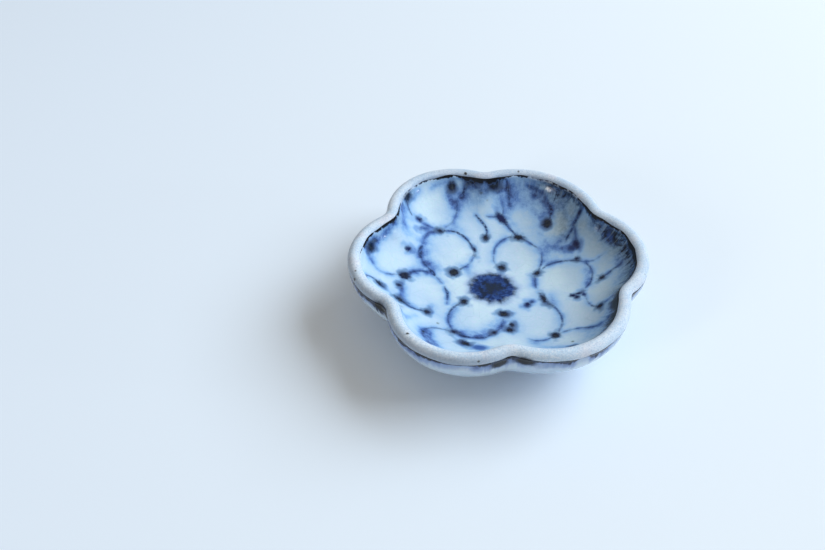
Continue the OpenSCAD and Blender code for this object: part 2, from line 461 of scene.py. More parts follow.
def sum_up(tree, operation, *values, clamp=False):
    """A Math node's result."""
    made = add_node(tree, "ShaderNodeMath", dict(enumerate(values)), operation=operation)
    made.use_clamp = clamp
    return made.outputs[0]


def times(tree, first, second, clamp=False):
    """The product of two values."""
    return sum_up(tree, "MULTIPLY", first, second, clamp=clamp)


def stirred(tree, value, noise, amount):
    """A value moved by a noise, up or down by up to half the amount."""
    return sum_up(tree, "MULTIPLY_ADD", sum_up(tree, "SUBTRACT", noise, 0.5), amount, value)


def fade(tree, value, start, end, low=0.0, high=1.0, way="SMOOTHSTEP"):
    """A value brought smoothly from start..end to low..high."""
    made = add_node(tree, "ShaderNodeMapRange", {0: value, 1: start, 2: end, 3: low, 4: high},
                    interpolation_type=way)
    return made.outputs[0]


def tinted(tree, tone, colour, *fading, way="SMOOTHSTEP"):
    """A tone brought towards a colour as far as a value fades, in fade's own order."""
    return colour_mix(tree, fade(tree, *fading, way=way), tone, srgb(*colour))


def clouds(tree, place, scale, detail=2.0, rough=0.5):
    """Soft noise from 0 to 1."""
    made = add_node(tree, "ShaderNodeTexNoise", {"Vector": place, "Scale": scale,
                                                 "Detail": detail, "Roughness": rough})
    return made.outputs[0]


def in_millimetres(tree):
    """Where the surface is, in millimetres of the dish."""
    place = add_node(tree, "ShaderNodeTexCoord").outputs["Object"]
    made = add_node(tree, "ShaderNodeVectorMath", {0: place, "Scale": 1000.0}, operation="SCALE")
    return made.outputs[0]


def read_field(tree, name, output="Fac"):
    """A field that paint_field stored."""
    return add_node(tree, "ShaderNodeAttribute", attribute_name=name).outputs[output]


def new_group(name, inputs, outputs):
    """A node group with these sockets, by label and kind, then its inputs and its end node."""
    group = bpy.data.node_groups.new(name, "ShaderNodeTree")
    for label, kind in inputs:
        group.interface.new_socket(label, in_out="INPUT", socket_type=kind)
    for label, kind in outputs:
        group.interface.new_socket(label, in_out="OUTPUT", socket_type=kind)
    entry = add_node(group, "NodeGroupInput")
    leave = add_node(group, "NodeGroupOutput")
    return group, entry.outputs, leave


def use_group(tree, group, sockets):
    """The outputs of a node group placed in a material."""
    return add_node(tree, "ShaderNodeGroup", sockets, node_tree=group).outputs


# Iron specks of the clay, one to a cell, in under half of the cells.
kiln_specks, given, leave = new_group(
    "kiln_specks",
    [("Place", "NodeSocketVector"), ("Spacing", "NodeSocketFloat"), ("Size", "NodeSocketFloat")],
    [("Specks", "NodeSocketFloat")])
tree = kiln_specks
spread = sum_up(tree, "DIVIDE", 1.0, given["Spacing"])
cell = add_node(tree, "ShaderNodeTexVoronoi", {"Vector": given["Place"], "Scale": spread})
from_seed = times(tree, cell.outputs["Distance"], given["Spacing"])
draw = add_node(tree, "ShaderNodeSeparateColor", {0: cell.outputs["Color"]})
grown = times(tree, draw.outputs[0], given["Size"])
kept = sum_up(tree, "GREATER_THAN", draw.outputs[1], 0.55)
left = sum_up(tree, "SUBTRACT", grown, from_seed)
spot = fade(tree, left, 0.0, 0.12)
tree.links.new(times(tree, spot, kept), leave.inputs["Specks"])

# A pool's soft halo and its dark core, by how deeply it stains each point.
glaze_pool, given, leave = new_group(
    "glaze_pool", [("Place", "NodeSocketVector"), ("Stain", "NodeSocketFloat")],
    [("Halo", "NodeSocketFloat"), ("Core", "NodeSocketFloat")])
tree = glaze_pool
frayed = stirred(tree, given["Stain"], clouds(tree, given["Place"], 0.9, 2.0, 0.6), 0.5)
tree.links.new(fade(tree, frayed, 0.1, 0.6, 0.0, 0.85), leave.inputs["Halo"])
tree.links.new(fade(tree, frayed, 0.4, 0.85, 0.0, 0.95), leave.inputs["Core"])


def speckled(tree, tone, place, spacing, size, strength, colour):
    """A tone strewn with iron specks: how far apart and how big in millimetres, and how strong."""
    specks = use_group(tree, kiln_specks, {"Place": place, "Spacing": spacing, "Size": size})
    return colour_mix(tree, times(tree, specks["Specks"], strength), tone, srgb(*colour))


def pooled(tree, tone, place, halo, core):
    """A tone stained where glaze pooled under the lip, with a soft halo and a dark core."""
    pool = use_group(tree, glaze_pool, {"Place": place, "Stain": read_field(tree, "pool_stain")})
    tone = colour_mix(tree, pool["Halo"], tone, srgb(*halo))
    return colour_mix(tree, pool["Core"], tone, srgb(*core))


body_material, tree = bare_material("satin_wiped_clay")
place = in_millimetres(tree)
# Pale slip with bluer and pinker patches and a fine sugary grain.
broad = clouds(tree, place, 0.09, 3.0)
fine = clouds(tree, place, 1.1, 4.0, 0.62)
tone = colour_mix(tree, fade(tree, broad, 0.38, 0.62), srgb(190, 218, 242), srgb(210, 230, 248))
flush = clouds(tree, place, 0.17, 2.0)
tone = tinted(tree, tone, (220, 218, 228), flush, 0.52, 0.72, 0.0, 0.5)
tone = tinted(tree, tone, (168, 186, 212), fine, 0.52, 0.74, 0.0, 0.3)
grains = clouds(tree, place, 2.3, 2.0, 0.7)
tone = tinted(tree, tone, (238, 240, 250), grains, 0.48, 0.66, 0.0, 0.65)
tone = tinted(tree, tone, (172, 184, 212), grains, 0.49, 0.36, 0.0, 0.5)
# Across the lip: painted shade on its outer face, darker on the side turned from the window, and
# the seam dragged in over the inner edge, with painted shade over the inner half at the back.
over = read_field(tree, "over_lip")
over = stirred(tree, stirred(tree, over, flush, 0.3), fine, 0.25)
# Painted shade on the lip's outer face, by bearing.
grey = times(tree, fade(tree, over, 0.42, 0.86, 0.0, 0.8), read_field(tree, "lip_painted_shade"))
tone = colour_mix(tree, grey, tone, srgb(122, 140, 166))
tone = tinted(tree, tone, (182, 208, 236), over, 0.34, 0.1, 0.0, 0.5)
dragged = times(tree, fade(tree, over, 0.36, 0.02), read_field(tree, "lip_seam_and_shade"))
tone = colour_mix(tree, dragged, tone, srgb(90, 108, 140))
# Painted shade over the lip's inner half, strongest at the back.
inner_lip_shade = times(tree, read_field(tree, "lip_seam_and_shade"), fade(tree, over, 0.75, 0.4, 0.0, 0.38))
tone = colour_mix(tree, inner_lip_shade, tone, srgb(136, 156, 188))
# Pools of glaze, kiln specks and the larger burned ones.
tone = pooled(tree, tone, place, halo=(84, 98, 120), core=(26, 28, 32))
tone = speckled(tree, tone, place, spacing=6.0, size=0.4, strength=0.8, colour=(66, 62, 60))
burned = stirred(tree, read_field(tree, "speck_gap"), grains, 0.6)
tone = tinted(tree, tone, (110, 112, 104), burned, 0.0, 0.3, 0.35, 0.0)
tone = tinted(tree, tone, (36, 34, 36), burned, -0.15, 0.12, 0.95, 0.0)
shine = fade(tree, fine, 0.3, 0.75, 0.36, 0.52)
grit = sum_up(tree, "ADD", fine, times(tree, broad, 2.0))
dents = add_node(tree, "ShaderNodeBump", {"Strength": 0.35, "Distance": 0.0002, "Height": grit})
skin = add_node(tree, "ShaderNodeBsdfPrincipled", {"Base Color": tone, "Roughness": shine,
                                                   "Normal": dents.outputs[0]})
skin.inputs["IOR"].default_value = 1.48
add_node(tree, "ShaderNodeOutputMaterial", {"Surface": skin.outputs[0]})
body.data.materials.append(body_material)
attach(body, "root")
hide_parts("dish_body")


# Foot ring
# A coil of the same clay luted under the floor and trimmed on the wheel. Its land is ground
# flat and left bare, so the fired clay shows warm and sandy there.
foot_width = 3.6
foot_bevel, foot_bevel_rise = 0.7, 1.0
foot_land_inset = 1.0
foot_fillet = foot_reach - 22.0
foot_outside = foot_reach - foot_fillet
foot_inside = foot_outside - foot_width
foot_around = 320
foot_angles = np.linspace(0, math.tau, foot_around, endpoint=False)


def foot_section():
    """Reach and height of points round the ring's section."""
    bevel = []
    for a in np.linspace(0, 90, 9):
        turn = math.radians(a)
        bevel.append((foot_bevel * (1 - math.cos(turn)),
                      foot_bevel_rise * (1 - math.sin(turn))))
    land = np.linspace(foot_inside + foot_land_inset, foot_outside - foot_land_inset, 6)
    points = [(foot_inside, z) for z in np.linspace(seat_height, foot_bevel_rise, 9)]
    points += [(foot_inside + inset, z) for inset, z in bevel[1:]]
    points += [(r, 0.0) for r in land]
    points += [(foot_outside - inset, z) for inset, z in bevel[:0:-1]]
    points += [(foot_outside, z) for z in np.linspace(foot_bevel_rise,
                                                      seat_height - foot_fillet, 12)]
    for a in np.linspace(180, 90, 8)[1:]:
        turn = math.radians(a)
        points.append((foot_outside + foot_fillet * (1 + math.cos(turn)),
                       seat_height - foot_fillet * (1 - math.sin(turn))))
    points += [(r, seat_height) for r in np.linspace(foot_outside, foot_inside, 6)[1:-1]]
    return points


# The wheel's fine ridges and the ring's small unevenness leave its land and its seat alone.
foot_rings = []
for reach, height in reversed(foot_section()):
    free = ease(seat_height - height) * ease(height / 0.8)
    trim = 0.03 * math.sin(height * 9) * free
    uneven = 0.05 * np.cos(3 * foot_angles + 0.7) + 0.04 * np.cos(8 * foot_angles + height)
    drawn = reach + trim - (0.09 - uneven) * free * (1 if reach > 20 else -1)
    foot_rings.append(np.column_stack([drawn * np.cos(foot_angles), drawn * np.sin(foot_angles),
                                       np.full(foot_around, height)]))
foot = lofted_piece("foot_ring_clay", foot_rings)[0]
foot_material, tree = bare_material("bare_foot_clay")
place = in_millimetres(tree)
sand = clouds(tree, place, 2.2, 5.0, 0.65)
broad = clouds(tree, place, 0.12, 2.0)
tone = colour_mix(tree, fade(tree, broad, 0.35, 0.7), srgb(206, 190, 172), srgb(222, 212, 200))
tone = tinted(tree, tone, (170, 146, 122), sand, 0.5, 0.75, 0.0, 0.55)
tone = speckled(tree, tone, place, spacing=2.4, size=0.5, strength=0.85, colour=(92, 70, 58))
grains = add_node(tree, "ShaderNodeBump", {"Strength": 0.7, "Distance": 0.0003, "Height": sand})
skin = add_node(tree, "ShaderNodeBsdfPrincipled", {
    "Base Color": tone, "Roughness": fade(tree, sand, 0.3, 0.7, 0.68, 0.9),
    "Normal": grains.outputs[0]})
add_node(tree, "ShaderNodeOutputMaterial", {"Surface": skin.outputs[0]})
foot.data.materials.append(foot_material)
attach(foot, "root")
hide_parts("foot_ring")


# Painted inner glaze
# The vines, buds and medallion are brushed on the raw clay in cobalt, iron-dark where the brush
# was full, and a milky glaze is poured over them. It thins to a dark seam along the lip.
glaze_coat = 0.35
seam_coat = 0.03
seam_rise = 0.9
glaze_bite = 0.06
edge_stretch = 6.0
drop_height, rim_level = 40, 19
inner_edge = lip_start_length + seam_rise + 0.18 * np.sin(notch_away * 0.55 + 1.0)
inner_edge += 0.14 * np.cos(outline[:, 0] * 0.31) * np.cos(outline[:, 1] * 0.23)
inner_step = 0.4


def swell(points):
    """Slow hills and hollows of poured glaze, from -1 to 1."""
    x, y = points[:, 0], points[:, 1]
    return (np.sin(0.21 * x + 0.9) * np.cos(0.17 * y + 0.3) + np.sin(0.11 * x - 0.26 * y)
            + 0.6 * np.sin(0.43 * x + 0.38 * y + 1.7)) / 2.6


def thinned(full, away, taper):
    """The glaze's thickness at a length away from its edge, full once it is past the taper."""
    return seam_coat + (full - seam_coat) * ease(away / taper) ** 0.8


# Rings of the coat's face, with fewer points near the middle. The last ones stretch to end on
# the coat's wavy edge, and then rings of its back, which bites into the clay, close it.
glaze_rings, glaze_falls, glaze_outline, glaze_notch = [], [], [], []
length = inner_step
while length < inner_edge.max() - 0.5 * inner_step:
    reach = np.interp(length, section_lengths, section_rows[:, 0])
    skip = 8 if reach < 5.2 else 4 if reach < 10.5 else 2 if reach < 21 else 1
    stretch = ease((length - lip_start_length + edge_stretch) / edge_stretch)
    run = (1 - stretch) * length + stretch * (length * inner_edge[::skip] / inner_edge.max())
    clay = ring_at(outline[::skip], ways[::skip], run, 0)
    full = glaze_coat + 0.05 * swell(clay)
    coat = thinned(full, inner_edge[::skip] - run, taper=3.2)
    glaze_rings.append(hand_press(ring_at(outline[::skip], ways[::skip], run, coat)))
    glaze_falls.append(inner_edge[::skip] - run)
    glaze_outline.append(outline[::skip])
    glaze_notch.append(notch_away[::skip])
    length += inner_step
closing_rings = [(seam_coat / 2, 0.0)]
closing_rings += [(-glaze_bite, back) for back in (0.0, 0.6, 4.0, 10.0, 20.0, 32.0, 42.0)]
for coat, back in closing_rings:
    glaze_rings.append(hand_press(ring_at(outline, ways, inner_edge - back, coat)))
    glaze_falls.append(np.full(around, back))
    glaze_outline.append(outline)
    glaze_notch.append(notch_away)
glaze, glaze_points = lofted_piece("painted_inner_glaze", glaze_rings,
                                   (0, 0, clay_floor + glaze_coat),
                                   (0, 0, clay_floor - glaze_bite))
# The two tips in the middle come last, far from the edge and from any notch.
glaze_falls = np.concatenate(glaze_falls + [[40.0, 40.0]])
glaze_outline = np.concatenate(glaze_outline + [np.zeros((2, 2))])
glaze_notch = np.concatenate(glaze_notch + [[20.0, 20.0]])

surface = BVHTree.FromPolygons(glaze_points.tolist(),
                               [tuple(p.vertices) for p in glaze.data.polygons])


def on_glaze(point):
    """The point of the glazed surface straight under a point of the plan."""
    hit = surface.ray_cast(Vector((*point, drop_height)), Vector((0, 0, -1)))[0]
    if hit is None:
        hit = surface.find_nearest(Vector((*point, rim_level)))[0]
    return np.array(hit)


def brush_path(points, step=0.7):
    """A smooth curve through the points of a stroke, laid on the glazed surface."""
    points = [np.array(p, float) for p in points]
    ends = [2 * points[0] - points[1]] + points + [2 * points[-1] - points[-2]]
    path = []
    for i in range(len(points) - 1):
        p0, p1, p2, p3 = ends[i:i + 4]
        pieces = max(1, round(np.linalg.norm(p2 - p1) / step))
        for t in np.arange(pieces) / pieces:
            path.append(0.5 * (2 * p1 + (p2 - p0) * t + (2 * p0 - 5 * p1 + 4 * p2 - p3) * t ** 2
                               + (3 * p1 - p0 - 3 * p2 + p3) * t ** 3))
    path.append(points[-1])
    return np.array([on_glaze(p) for p in path])


def stroke_gap(points, width, taper, wide=5.0):
    """For the points near a stroke: their numbers, and how far each is from the stroke's edge."""
    path = brush_path(points)
    low, high = path.min(axis=0) - wide, path.max(axis=0) + wide
    near = np.flatnonzero(((glaze_points > low) & (glaze_points < high)).all(axis=1))
    here = glaze_points[near]
    best = np.full(len(near), 99.0)
    for i in range(len(path) - 1):
        leg = path[i + 1] - path[i]
        t = np.clip(((here - path[i]) @ leg) / (leg @ leg), 0, 1)
        away = np.linalg.norm(here - path[i] - t[:, None] * leg, axis=1)
        along = (i + t) / (len(path) - 1)
        half = width / 2 * (1 - taper * (2 * along - 1) ** 2)
        best = np.minimum(best, away - half)
    return near, best


def keep_nearest(gaps, tones, near, gap, darkness):
    """Writes a mark's gap and darkness at its near points, where no mark so far is nearer."""
    closer = gap < gaps[near]
    gaps[near[closer]] = gap[closer]
    tones[near[closer]] = darkness


# Each vine: its width, how dark it is from 0 to 1, and points of the plan that it goes through.
vines = [
    (0.95, 1.0, [(-15.6, 23.4), (-12, 23.7), (-9.2, 22.7), (-7, 20.3), (-5.4, 17)]),
    (0.6, 0.5, [(-5.7, 12.6), (-6.8, 10.6), (-8.6, 8.8)]),
    (0.9, 0.95, [(-8.2, 9), (-9.6, 8.1), (-10.8, 7.4)]),
    (0.6, 0.35, [(-17.2, 22.8), (-19.2, 21.8), (-20.6, 19.8), (-21.6, 17)]),
    (1.4, 0.9, [(-21.8, 16), (-22.6, 13.6), (-22.4, 11.4)]),
    (0.8, 0.7, [(-22.4, 11.4), (-21.6, 9.2), (-20, 7)]),
    (1.4, 0.9, [(-20, 7), (-19.2, 5.8), (-18.4, 4.4)]),
    (0.6, 0.5, [(-18.4, 4.4), (-17.4, 2.8), (-16.4, 1.2)]),
    (1.0, 0.95, [(-15.7, -0.6), (-15.1, -3), (-15.3, -6)]), (0.5, 0.4, [(-15.5, -7), (-15.6, -8)]),
    (0.9, 0.7, [(-26.4, 3.8), (-24.8, 5.1), (-22.6, 5.7), (-20.6, 5.6)]),
    (0.6, 0.55, [(-33.6, 1.2), (-31.6, 1.8), (-29, 2.5)]),
    (0.4, 0.25, [(-38, 4), (-36.4, 2), (-33.6, 1.2)]),
    (0.5, 0.3, [(-29, -3.5), (-29.4, -6), (-29.6, -8)]),
    (1.4, 0.85, [(-28.6, -10.4), (-27, -12), (-25, -12.7), (-23.4, -12.6)]),
    (0.8, 0.85, [(-26, 29), (-25.6, 27.6), (-24.6, 26.3)]),
    (0.7, 0.75, [(-9.5, 34.4), (-9.5, 31.8), (-10, 29.6)]),
    (0.6, 0.55, [(-10, 29.6), (-11.2, 27.4), (-13, 25.6), (-14.8, 24.2)]),
    (0.5, 0.3, [(-20.6, 24.8), (-18.6, 24.3), (-16.4, 24)]),
    (0.7, 0.75, [(9, 20.8), (6.6, 20.9), (4.4, 19.9), (2.6, 18.2)]),
    (0.7, 0.6, [(2.6, 18.2), (1.5, 16.4), (1, 14.2)]),
    (0.6, 0.55, [(0.8, 13.2), (0.7, 10.8), (1.6, 9)]),
    (0.75, 0.85, [(10.2, 20.2), (12.2, 18.6), (13.8, 16.8), (15.2, 15.3)]),
    (0.75, 0.75, [(16, 12.8), (15.8, 10.4), (15.1, 8), (14.1, 5.8)]),
    (0.85, 0.85, [(15.2, 6.2), (17, 7.5), (19.6, 8.3), (22.4, 8.2), (25.4, 7.6), (27.6, 6.5)]),
    (0.6, 0.6, [(27.6, 6.5), (29.6, 5.7)]),
    (0.8, 0.8, [(28.4, 5.9), (29.4, 3.4), (29.6, 0.4), (28.6, -2.6), (26.6, -5)]),
    (0.5, 0.35, [(29.6, 5.7), (31.4, 5.7), (34.4, 6.7)]),
    (0.8, 0.85, [(12.6, 2.6), (12.3, 0.6), (12.2, -1.6)]), (0.8, 0.85, [(12.8, -4), (13.4, -5.4)]),
    (1.0, 0.9, [(14.6, -9), (16, -10.4), (16.9, -12.2)]),
    (0.85, 0.8, [(16.9, -12.2), (17.5, -15), (17.5, -17.6), (16.9, -20), (15.6, -22.6)]),
    (0.7, 0.6, [(13, -25.2), (11, -26.2), (8.4, -26), (6.6, -24.8)]),
    (0.95, 0.85, [(-11.6, -7.6), (-13.6, -9.4), (-15, -11.6), (-15.7, -14)]),
    (0.7, 0.65, [(-15.7, -14), (-15.8, -16.2), (-15.3, -18.6), (-14.6, -20.4)]),
    (1.4, 0.85, [(-13.6, -21.6), (-12, -22.9), (-10, -23.4)]),
    (1.0, 0.75, [(-10, -23.4), (-7.6, -23.6), (-5.6, -23.3), (-4, -22)]),
    (0.8, 0.75, [(-4, -22), (-2.4, -20.6), (-0.8, -19)]),
    (0.8, 0.6, [(-0.8, -19), (0.2, -16.8), (0.6, -14.8)]),
    (0.7, 0.75, [(-23.4, -22.8), (-22, -21), (-20, -20.1), (-17.8, -20.2), (-15.4, -20.8)]),
    (1.2, 0.9, [(-7.6, 35.2), (-6.8, 37), (-5, 38.2), (-3, 38)]),
    (1.0, 0.95, [(-3.4, 29.6), (-1.8, 27.4), (-0.6, 25.4), (-0.3, 23.6), (-0.6, 22)]),
    (0.6, 0.65, [(0, 28.9), (1.6, 28.7), (3.4, 28.8)]),
    (1.5, 0.85, [(5.4, 27.6), (6, 26.6), (6.6, 25.4)]),
    (0.9, 0.9, [(6.4, 25.6), (7.6, 23.6), (9, 21.6)]),
    (0.6, 0.7, [(5.5, 29.8), (5.7, 31.6), (5.6, 33.4)]),
    (0.9, 0.9, [(5.6, 37.7), (6.8, 38), (7.6, 37), (7.8, 35.4), (7.9, 33.6)]),
    (0.5, 0.6, [(7.8, 34.2), (7.8, 32.2)]),
    (1.2, 0.5, [(14, 36.6), (16.6, 35.4), (18.8, 33.6), (19.8, 31.4)]),
    (1.0, 0.95, [(20.2, 30.4), (20.9, 28.8), (20.9, 27.4), (20.2, 25.8)]),
    (1.3, 0.75, [(29.2, 22.8), (27.6, 21), (26.6, 19.4), (25.6, 18)]),
    (1.1, 0.85, [(25.2, 17.6), (24.4, 16.6), (24, 15.8)]),
    (0.7, 0.55, [(27.2, 19.8), (26.9, 17), (26.8, 14.4)]),
    (0.9, 0.8, [(37.8, 0), (35.6, -0.6), (33.6, -1.6), (32.4, -2.2)]),
    (0.5, 0.35, [(31, -2.8), (29.6, -3.6)]),
    (0.6, 0.5, [(25.8, -6.4), (25.9, -9), (25.9, -12), (26.3, -14.2)]),
    (0.9, 0.8, [(26.2, -14), (27, -15.4), (28, -16.2)]), (0.5, 0.3, [(29.6, -16), (31.4, -15)]),
    (0.6, 0.55, [(15.8, -23.6), (18.4, -22.9), (21, -22.9), (22.6, -23.4)]),
    (0.9, 0.75, [(22.6, -23.4), (24.2, -24.2), (25.8, -24.8)]),
    (0.5, 0.3, [(25.8, -24.6), (28.4, -23.8), (30, -22.4)]),
    (0.8, 0.75, [(-39.4, -6.2), (-39.2, -4.4), (-38, -3.4), (-36.6, -3.6)]),
    (0.9, 0.6, [(-40, 5.4), (-39, 7.2), (-38, 9)]),
    (0.8, 0.75, [(-15.6, -35.4), (-12, -33.2), (-7.6, -32.6), (-4, -34.4)]),
    (0.7, 0.7, [(3.6, -33.4), (8, -35), (12.4, -34.8), (16, -33)]),
    (0.8, 0.75, [(-27.6, -26.6), (-25.4, -30), (-21, -33.6)]),
    (0.7, 0.6, [(-34.4, -13), (-33.4, -17.6), (-30.4, -21.6)]),
]
# Each bud: its place in the plan, its two half widths, its turn in degrees and its darkness.
buds = [
    (-12.4, 6.2, 1.5, 1.6, 0, 1.0), (-15.8, 23.3, 1.1, 0.7, 0, 0.9),
    (-5.1, 16.3, 0.5, 0.9, 15, 0.5), (-5.3, 13.6, 0.3, 0.5, 0, 0.5),
    (-26.3, 13.2, 0.9, 0.7, 20, 0.4), (-22.3, 26.0, 1.0, 0.6, -20, 0.4),
    (-20.9, 23.1, 1.5, 0.5, 15, 0.15), (-25.9, 30.4, 1.1, 2.0, -35, 0.85),
    (-0.9, 21.2, 0.9, 1.1, 0, 0.9), (4.7, 28.3, 2.2, 1.25, -52, 0.4),
    (9.6, 20.6, 1.5, 1.0, -25, 1.0), (2.9, 7.9, 1.2, 1.4, 0, 1.0), (13.3, 4.6, 1.1, 0.9, 30, 0.9),
    (19.2, 24.2, 1.4, 1.7, -15, 1.0), (26.8, 13.0, 0.9, 1.6, 5, 0.5),
    (25.6, 12.2, 1.3, 0.7, 0, 0.3), (26.2, 8.0, 0.6, 0.6, 0, 0.7), (13.9, -7.2, 0.7, 1.9, 15, 1.0),
    (8.6, -9.0, 0.9, 1.0, 0, 0.4), (9.9, -7.8, 0.5, 0.4, 30, 0.4), (1.1, -12.5, 1.4, 1.2, -15, 1.0),
    (2.8, -17.7, 0.7, 0.9, 0, 0.9), (1.9, -19.9, 1.1, 1.0, 0, 0.9),
    (14.3, -24.4, 1.2, 1.4, -25, 1.0), (22.5, -7, 0.9, 0.7, 0, 0.5), (25.6, -7.4, 0.5, 0.8, 0, 0.3),
    (23.5, -8.1, 0.8, 0.8, 0, 0.5), (24.6, -6.6, 1.2, 0.6, 20, 0.5),
    (28.3, -16.4, 0.9, 1.0, 0, 0.9), (31.8, -2.4, 1.0, 0.6, 15, 0.9),
    (36, 10.6, 0.5, 1.2, 20, 0.15), (-27.9, 2.5, 1.7, 1.5, 0, 0.8), (-29.8, -2.2, 0.7, 0.6, 0, 0.7),
    (-29.7, -9.5, 1.6, 0.9, -40, 0.9), (-21.9, -12.9, 0.9, 1.1, 0, 0.85),
    (-10.4, -6.7, 1.0, 1.3, 0, 1.0), (-14.6, -20.9, 0.9, 0.8, 0, 0.7),
    (-2.7, -21, 0.7, 0.6, 0, 0.8), (-11.8, -26.5, 1.6, 1.0, -38, 0.95), (-8, -29, 1.5, 1.2, 0, 0.0),
    (-10.9, 37.9, 1.2, 1.5, 0, 1.0), (-6.4, 38.9, 1.2, 0.7, 0, 1.0),
    (-37.9, 8.0, 1.1, 1.5, -25, 1.0), (-35.6, -4.5, 1.4, 0.8, -38, 0.9),
    (16, 33.8, 0.3, 0.3, 0, 0.2), (28.8, 22.4, 0.9, 0.7, 40, 0.6), (-16.4, -36, 1.1, 0.9, 0, 0.9),
    (2.9, 36.7, 1.8, 1.4, 10, 1.0), (-4.6, 38, 1.8, 0.8, -15, 1.0), (2.6, -32.6, 1.0, 0.9, 0, 0.9),
    (17.4, -32.6, 1.0, 0.9, 0, 0.9), (-34.6, -11.4, 1.0, 1.1, 0, 0.9),
    (-20, -34.6, 0.9, 0.8, 0, 0.8),
]
# Each soft wash: how strong, how far it spreads, and the points that the brush went through.
washes = [
    (0.75, 1.8, [(-11.4, 36.2), (-11, 34.2)]), (0.6, 0.9, [(-24, 31.4), (-22, 34.4)]),
    (0.25, 2.0, [(-11, 33.6), (-11.6, 30)]), (0.12, 3.0, [(-8, 35), (-8.4, 30), (-9.6, 26.6)]),
    (0.45, 1.2, [(-17.5, 36.8), (-15, 38), (-13, 38.6)]),
    (0.45, 1.8, [(-6.6, 36.8), (-4, 37), (-1, 35.6)]), (0.35, 2.5, [(-7, 33.6), (-2.5, 33.4)]),
    (0.28, 1.4, [(-13.4, 24.6), (-11.2, 25.2), (-9.4, 25.4)]),
    (0.25, 1.3, [(-23.6, 26), (-21.4, 25), (-19.6, 24.6)]), (0.5, 1.9, [(-28, 25), (-27.2, 20.6)]),
    (0.35, 2.4, [(-28.4, 26.4), (-27.4, 22.6), (-26.2, 19)]),
    (0.45, 1.2, [(-24.8, 12.4), (-23.4, 11.6)]),
    (0.5, 2.8, [(-20.4, 17.4), (-20.6, 13.6), (-19.8, 9.8)]), (0.25, 2.0, [(-20, 9), (-17, 6.4)]),
    (0.35, 1.4, [(-19.6, 22), (-17, 22.8)]), (0.3, 1.6, [(-8, 9), (-7.8, 5.8)]),
    (0.9, 1.5, [(-30.2, 17.8), (-33.2, 14.4), (-36.8, 10.2)]), (0.5, 1.4, [(-37, 9), (-39, 6)]),
    (0.3, 2.0, [(-38.4, 5.8), (-37.6, 3.8)]), (0.55, 1.2, [(-26, 4), (-24.6, 4.6)]),
    (0.25, 2.0, [(-24, 4.4), (-20.8, 4.6)]), (0.35, 2.0, [(1, 36.8), (4, 36.6), (6.6, 36.4)]),
    (0.6, 1.8, [(4.8, 35.6), (5.4, 32.4)]),
    (0.45, 2.6, [(9.6, 36.6), (14, 35.4), (18, 32.6), (19.6, 29.4)]),
    (0.45, 3.2, [(9.4, 34), (14, 31), (17.6, 27)]), (0.25, 1.4, [(7.2, 33), (7.4, 29), (9.6, 24)]),
    (0.5, 2.2, [(20.6, 35.2), (25.6, 31), (28.6, 26)]),
    (0.35, 1.6, [(23.6, 30), (25.4, 25), (26.4, 21)]),
    (0.35, 2.2, [(16.8, 24), (16.4, 20), (18.4, 16.8), (22.4, 16.6)]),
    (0.7, 2.2, [(20, 14.4), (23.6, 13), (26, 12.8)]), (0.2, 2.2, [(17.4, 15), (17.6, 11)]),
    (0.55, 2.7, [(31.8, 16.4), (33.4, 13.4), (35.4, 11)]),
    (0.6, 1.8, [(38.6, 7), (39.8, 2), (39.8, -3), (38.4, -8)]),
    (0.4, 2.6, [(36.6, 3), (37, -2), (35.6, -7)]), (0.4, 1.8, [(28.2, 3), (28.4, 0), (27.2, -3)]),
    (0.15, 2.0, [(28, 5), (22, 7)]), (0.4, 1.6, [(-28.8, -1), (-28.8, -4.6), (-28.8, -8)]),
    (0.4, 1.5, [(-27.6, -10), (-25, -11.4)]), (0.45, 1.6, [(-20, -9.6), (-19.8, -12.6)]),
    (0.25, 1.6, [(-34.2, -5.2), (-33.4, -6.6)]),
    (0.55, 1.3, [(-12.6, -21.4), (-8.4, -22.6), (-4.6, -21.6)]),
    (0.32, 2.0, [(-12, -20.4), (-8, -20.8), (-3.4, -19)]),
    (0.25, 1.6, [(-1.6, -17.4), (-0.6, -14.6)]),
    (0.35, 1.5, [(-14.8, -18), (-14.6, -13.6), (-13, -10.4)]),
    (0.35, 1.4, [(-13, -24.4), (-12.6, -27.6)]),
    (1.0, 1.5, [(-23.6, -23.6), (-23.6, -26), (-22.2, -29)]),
    (0.7, 1.3, [(-21.4, -22.4), (-21.4, -26), (-19.8, -30)]),
    (0.4, 1.0, [(-25.4, -16.6), (-27, -19), (-28.4, -21)]),
    (0.6, 1.2, [(-8.8, -28.6), (-7.2, -29.2)]),
    (0.3, 1.8, [(4.2, -20.6), (4.4, -16.4), (3.4, -12.6)]), (0.3, 1.8, [(-0.4, -20), (0, -16)]),
    (0.5, 1.8, [(16.2, -5.8), (16.2, -8)]), (0.3, 1.4, [(7.4, -9.6), (8.8, -7.4), (11, -7.6)]),
    (0.35, 1.6, [(7.6, -27), (9.4, -29.4), (13, -31), (16, -31.4)]),
    (0.7, 1.7, [(33.4, -13.6), (31.6, -19), (30, -25), (26.4, -30.6)]),
    (0.3, 3.0, [(30, -18), (28.4, -24), (24, -28.6)]), (0.15, 3.0, [(22, -26), (26, -26)]),
    (0.2, 1.5, [(16.4, -14), (16.2, -20)]), (0.25, 1.6, [(11.4, -0.6), (11.6, 3.4)]),
    (0.3, 1.3, [(2.4, 18.6), (4.6, 20)]), (0.25, 1.6, [(15.2, 14), (16.6, 10)]),
    (0.4, 2.0, [(-18, -36), (-8, -36.4), (2, -36)]), (0.3, 2.0, [(8, -36), (18, -34)]),
]
